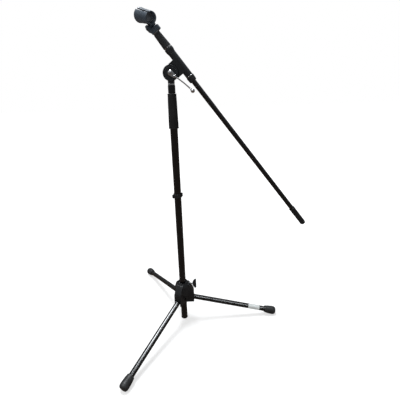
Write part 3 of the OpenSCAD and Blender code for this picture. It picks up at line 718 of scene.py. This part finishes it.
def boom():
    turned("boom_outer", "boom_tube", BOOM, PAINT, "boom", 0.4, 20)
    low, high = span("boom_end_grip", BOOM)
    relief = ribs(32, 0.3, 9.3, low.z + 6, high.z - 8)
    turned("boom_grip", "boom_end_grip", BOOM, RUBBER, "boom", 0.9, 2, relief, 192)
    turned("boom_inner", "extension_tube", BOOM, STEEL, "extension", 0.3, 20)


def boom_clutch():
    low, high = span("boom_clutch_grip", BOOM)
    relief = knurl(40, 0.35, 9.9, low.z + 3, high.z - 6, 5)
    turned("clutch_sleeve", "boom_clutch_grip", BOOM, WORN_GRIP, "boom_clutch", 0.7, 0.8,
           relief, 240)
    turned("clutch_seam", "boom_clutch_washer", BOOM, CHROME, "boom_clutch", 0.4)


# ---------------------------------------------------------------- microphone clip

def clip():
    base = moulded(cad_copy("clip_base", CLIP), 0.4, 5)
    piece("clip_foot", base, CLIP, CLIP_PLASTIC, "clip_mount", ("clip_base",))
    rear = span("clip_barrel", BARREL)[1].x
    reach = (BARREL.inverted() @ Vector(MOUNTS["mic_bore"]["pos_m"])).z
    bore = MOUNTS["mic_bore"]["dims"]["r_mm"]
    flare = lathe([Vector((0, rear - 3.6)), Vector((bore, rear - 3.6)), Vector((bore + 2.7, rear)),
                   Vector((bore + 2.7, rear + 1)), Vector((0, rear + 1))])
    flare.transform(Matrix.Translation((0, 0, reach)) @ AXIAL)
    barrel = moulded(combined(cad_copy("clip_barrel", BARREL), [flare]), 0.42, 4)
    piece("clip_shell", barrel, BARREL, CLIP_PLASTIC, "mic_clip", ("clip_barrel",))


# ---------------------------------------------------------------- carried-over CAD nodes

KEPT = {
    "hub_liner": NYLON, "lock_insert": BRASS, "leg_pins": BLACKED, "leg_plug_right": PLASTIC,
    "leg_plug_back": PLASTIC, "leg_plug_front": PLASTIC, "pole_collet": NYLON, "clutch_core": NYLON,
    "riser_guide": NYLON, "friction_washer": NYLON, "tee_liner": NYLON, "boom_collet": NYLON,
    "boom_clutch_core": NYLON, "extension_guide": NYLON, "extension_stud": STEEL,
    "clip_insert": BRASS, "clip_screw": BLACKED, "clip_nut": BLACKED,
}


def keep_inner_parts():
    for node, material in KEPT.items():
        data = frame["nodes"][node].data
        data.materials.clear()
        data.materials.append(material)


# ---------------------------------------------------------------- stage, light and camera

def ray_mix(tree, output, seen, reflected, scattered):
    """Shader seen by the camera, another one in reflections and a third for scattered light."""
    path = tree.nodes.new("ShaderNodeLightPath")
    inner = tree.nodes.new("ShaderNodeMixShader")
    outer = tree.nodes.new("ShaderNodeMixShader")
    tree.links.new(path.outputs["Is Glossy Ray"], inner.inputs[0])
    tree.links.new(scattered, inner.inputs[1])
    tree.links.new(reflected, inner.inputs[2])
    tree.links.new(path.outputs["Is Camera Ray"], outer.inputs[0])
    tree.links.new(inner.outputs[0], outer.inputs[1])
    tree.links.new(seen, outer.inputs[2])
    tree.links.new(outer.outputs[0], output)


def stage():
    """Plain pale floor that runs into an equally pale background."""
    mesh = bmesh.new()
    bmesh.ops.create_grid(mesh, x_segments=4, y_segments=4, size=12)
    data = bpy.data.meshes.new("floor")
    mesh.to_mesh(data)
    mesh.free()
    floor = bpy.data.objects.new("floor", data)
    bpy.context.scene.collection.objects.link(floor)
    material = bpy.data.materials.new("pale_floor")
    material.use_nodes = True
    tree = material.node_tree
    tree.nodes.clear()
    out = tree.nodes.new("ShaderNodeOutputMaterial")
    shaded = linked(tree, "ShaderNodeBsdfDiffuse", Color=(0.42, 0.42, 0.42, 1))
    spot = tree.nodes.new("ShaderNodeNewGeometry").outputs["Position"]
    away = tree.nodes.new("ShaderNodeVectorMath")
    away.operation = "LENGTH"
    tree.links.new(spot, away.inputs[0])
    glow = linked(tree, "ShaderNodeEmission", Color=(1, 1, 1, 1),
                  Strength=ramp(tree, away.outputs["Value"], 0.6, 2.2, 0.6, 1.0))
    seen = tree.nodes.new("ShaderNodeAddShader")
    tree.links.new(shaded.outputs[0], seen.inputs[0])
    tree.links.new(glow.outputs[0], seen.inputs[1])
    mirrored = linked(tree, "ShaderNodeEmission", Color=(0.11, 0.085, 0.07, 1))
    bounced = linked(tree, "ShaderNodeBsdfDiffuse", Color=(0.5, 0.48, 0.46, 1))
    ray_mix(tree, out.inputs["Surface"], seen.outputs[0], mirrored.outputs[0], bounced.outputs[0])
    data.materials.append(material)
    world = bpy.data.worlds.new("pale_world")
    bpy.context.scene.world = world
    world.use_nodes = True
    tree = world.node_tree
    tree.nodes.clear()
    out = tree.nodes.new("ShaderNodeOutputWorld")
    seen = linked(tree, "ShaderNodeBackground", Color=(1, 1, 1, 1), Strength=1.0)
    facing = tree.nodes.new("ShaderNodeTexCoord").outputs["Generated"]
    height = linked(tree, "ShaderNodeSeparateXYZ", Vector=facing).outputs["Z"]
    mirrored = linked(tree, "ShaderNodeBackground", Color=(0.93, 0.97, 1, 1),
                      Strength=ramp(tree, height, 0.1, 0.85, 0.12, 0.4))
    scattered = linked(tree, "ShaderNodeBackground", Color=(1, 1, 1, 1), Strength=0.5)
    ray_mix(tree, out.inputs["Surface"], seen.outputs[0], mirrored.outputs[0], scattered.outputs[0])


def lamp(name, place, target, sides, power, colour=(1, 1, 1), along=(1, 0, 0), shown_on=()):
    """Soft light aimed at a point, with its first side along a direction.

    With shown_on it lights nothing else, and adds only highlights there.
    """
    data = bpy.data.lights.new(name, "AREA")
    data.shape = "RECTANGLE"
    data.size, data.size_y = sides
    data.energy = power
    data.color = colour
    light = bpy.data.objects.new(name, data)
    if shown_on:
        receivers = bpy.data.collections.new(name + "_receivers")
        for shown in shown_on:
            receivers.objects.link(shown)
        light.light_linking.receiver_collection = receivers
        light.visible_diffuse = False
    back = (Vector(place) - Vector(target)).normalized()
    first = Vector(along)
    first = (first - back * first.dot(back)).normalized()
    light.matrix_world = (Matrix.Translation(place)
                          @ Matrix((first, back.cross(first), back)).transposed().to_4x4())
    bpy.context.scene.collection.objects.link(light)


def lights():
    cool = (0.93, 0.97, 1)
    lamp("overhead", (-0.3, 0.4, 2.8), (0, 0, 0.3), (0.9, 0.9), 80, cool)
    lamp("key", (-1.5, -1.2, 2.2), (0, 0, 0.7), (0.9, 0.9), 14, (1, 0.99, 0.97))
    for side, place, target, power in (("front", (1.0, -0.64, 2.5), (-0.13, -0.22, 0.06), 26),
                                       ("right", (1.76, -1.57, 2.6), (0.2, 0, 0.06), 42)):
        lamp(side + "_leg_streak", place, target, (1.8, 0.26), power, cool,
             LEGS[side].to_3x3().col[0], [bpy.data.objects["leg_" + side]])


# Viewpoint: height and distance in metres, angles in degrees
CAMERA_PLACE = (0.0651, -1.0117, 0.9082)
CAMERA_YAW = 0.778
CAMERA_PITCH = 20.923
CAMERA_ROLL = -1.675
CAMERA_LENS = 27.15


def camera():
    yaw, pitch, roll = (math.radians(a) for a in (CAMERA_YAW, CAMERA_PITCH, CAMERA_ROLL))
    ahead = Vector((math.sin(yaw) * math.cos(pitch), math.cos(yaw) * math.cos(pitch), -math.sin(pitch)))
    right = ahead.cross(Vector((0, 0, 1))).normalized()
    up = right.cross(ahead)
    tilted_right = math.cos(roll) * right + math.sin(roll) * up
    tilted_up = math.cos(roll) * up - math.sin(roll) * right
    data = bpy.data.cameras.new("camera")
    data.lens = CAMERA_LENS
    data.sensor_width = 36
    data.clip_end = 100
    view = bpy.data.objects.new("camera", data)
    turn = Matrix((tilted_right, tilted_up, -ahead)).transposed().to_4x4()
    view.matrix_world = Matrix.Translation(CAMERA_PLACE) @ turn
    bpy.context.scene.collection.objects.link(view)
    bpy.context.scene.camera = view
    bpy.context.scene.view_settings.view_transform = "Standard"


hub()
for leg_side in SIDES:
    leg(leg_side)
label()
locking_screw()
pole()
pole_clutch()
head()
lever()
tee()
collar()
boom()
boom_clutch()
clip()
keep_inner_parts()
stage()
lights()
camera()
